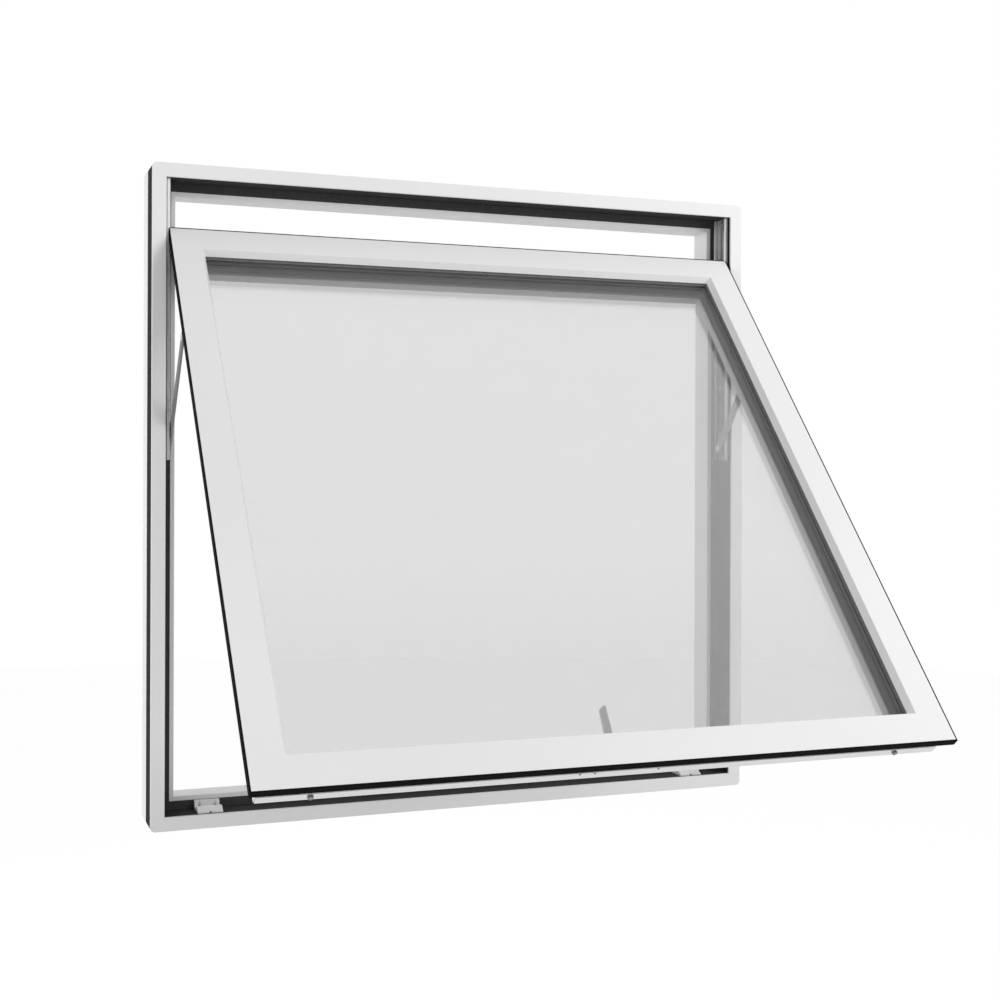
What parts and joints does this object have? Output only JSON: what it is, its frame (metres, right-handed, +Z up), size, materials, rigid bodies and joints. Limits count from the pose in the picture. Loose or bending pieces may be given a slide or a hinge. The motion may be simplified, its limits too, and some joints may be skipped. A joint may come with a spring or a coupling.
{
  "type": "top hung awning window",
  "caption": "Square top hung awning window in pale coated aluminium, its double glazed sash pushed out at the foot on friction stays, with lever handle, lock rail and black seals.",
  "frame": {"origin": "middle of the underside of the frame, at half the frame's depth", "axes": "+X along the sill, +Y from the outside to the room, +Z up; the sash opens towards -Y"},
  "size_m": [1, 0.7114, 1],
  "materials": {
    "coated_aluminium": "satin powder coat",
    "black_core": "matt polyamide",
    "black_rubber": "matt weather seal",
    "grey_rubber": "matt grey gasket",
    "spacer": "dark warm-edge spacer",
    "glass": "clear",
    "stay_steel": "brushed",
    "zinc": "cast, plated",
    "handle_coating": "satin dark coat"
  },
  "bodies": {
    "root": {"frame_sill_face": "coated_aluminium", "frame_sill_core": "black_core", "frame_sill_tube": "coated_aluminium", "frame_right_jamb_face": "coated_aluminium", "frame_right_jamb_core": "black_core", "frame_right_jamb_tube": "coated_aluminium", "frame_head_face": "coated_aluminium", "frame_head_core": "black_core", "frame_head_tube": "coated_aluminium", "frame_left_jamb_face": "coated_aluminium", "frame_left_jamb_core": "black_core", "frame_left_jamb_tube": "coated_aluminium", "sash_bottom_rail_outer": "coated_aluminium", "sash_bottom_rail_inner": "coated_aluminium", "glazing_bead_bottom_rail": "coated_aluminium", "sash_right_stile_outer": "coated_aluminium", "sash_right_stile_inner": "coated_aluminium", "glazing_bead_right_stile": "coated_aluminium", "sash_top_rail_outer": "coated_aluminium", "sash_top_rail_inner": "coated_aluminium", "glazing_bead_top_rail": "coated_aluminium", "sash_left_stile_outer": "coated_aluminium", "sash_left_stile_inner": "coated_aluminium", "glazing_bead_left_stile": "coated_aluminium", "frame_seal": "black_rubber", "sash_edge_seal": "black_rubber", "sash_break": "black_core", "glazing_gasket_outer": "grey_rubber", "glazing_gasket_inner": "grey_rubber", "glass_spacer": "spacer", "glass_outer_pane": "glass", "glass_inner_pane": "glass", "lock_rail": "stay_steel", "keeper_left": "zinc", "keeper_right": "zinc", "handle_base": "handle_coating", "handle_lever": "handle_coating", "stay_left_track": "stay_steel", "stay_left_arm": "stay_steel", "stay_left_sash_bar": "stay_steel", "stay_left_shoe": "black_core", "stay_right_track": "stay_steel", "stay_right_arm": "stay_steel", "stay_right_sash_bar": "stay_steel", "stay_right_shoe": "black_core"}
  },
  "joints": []
}
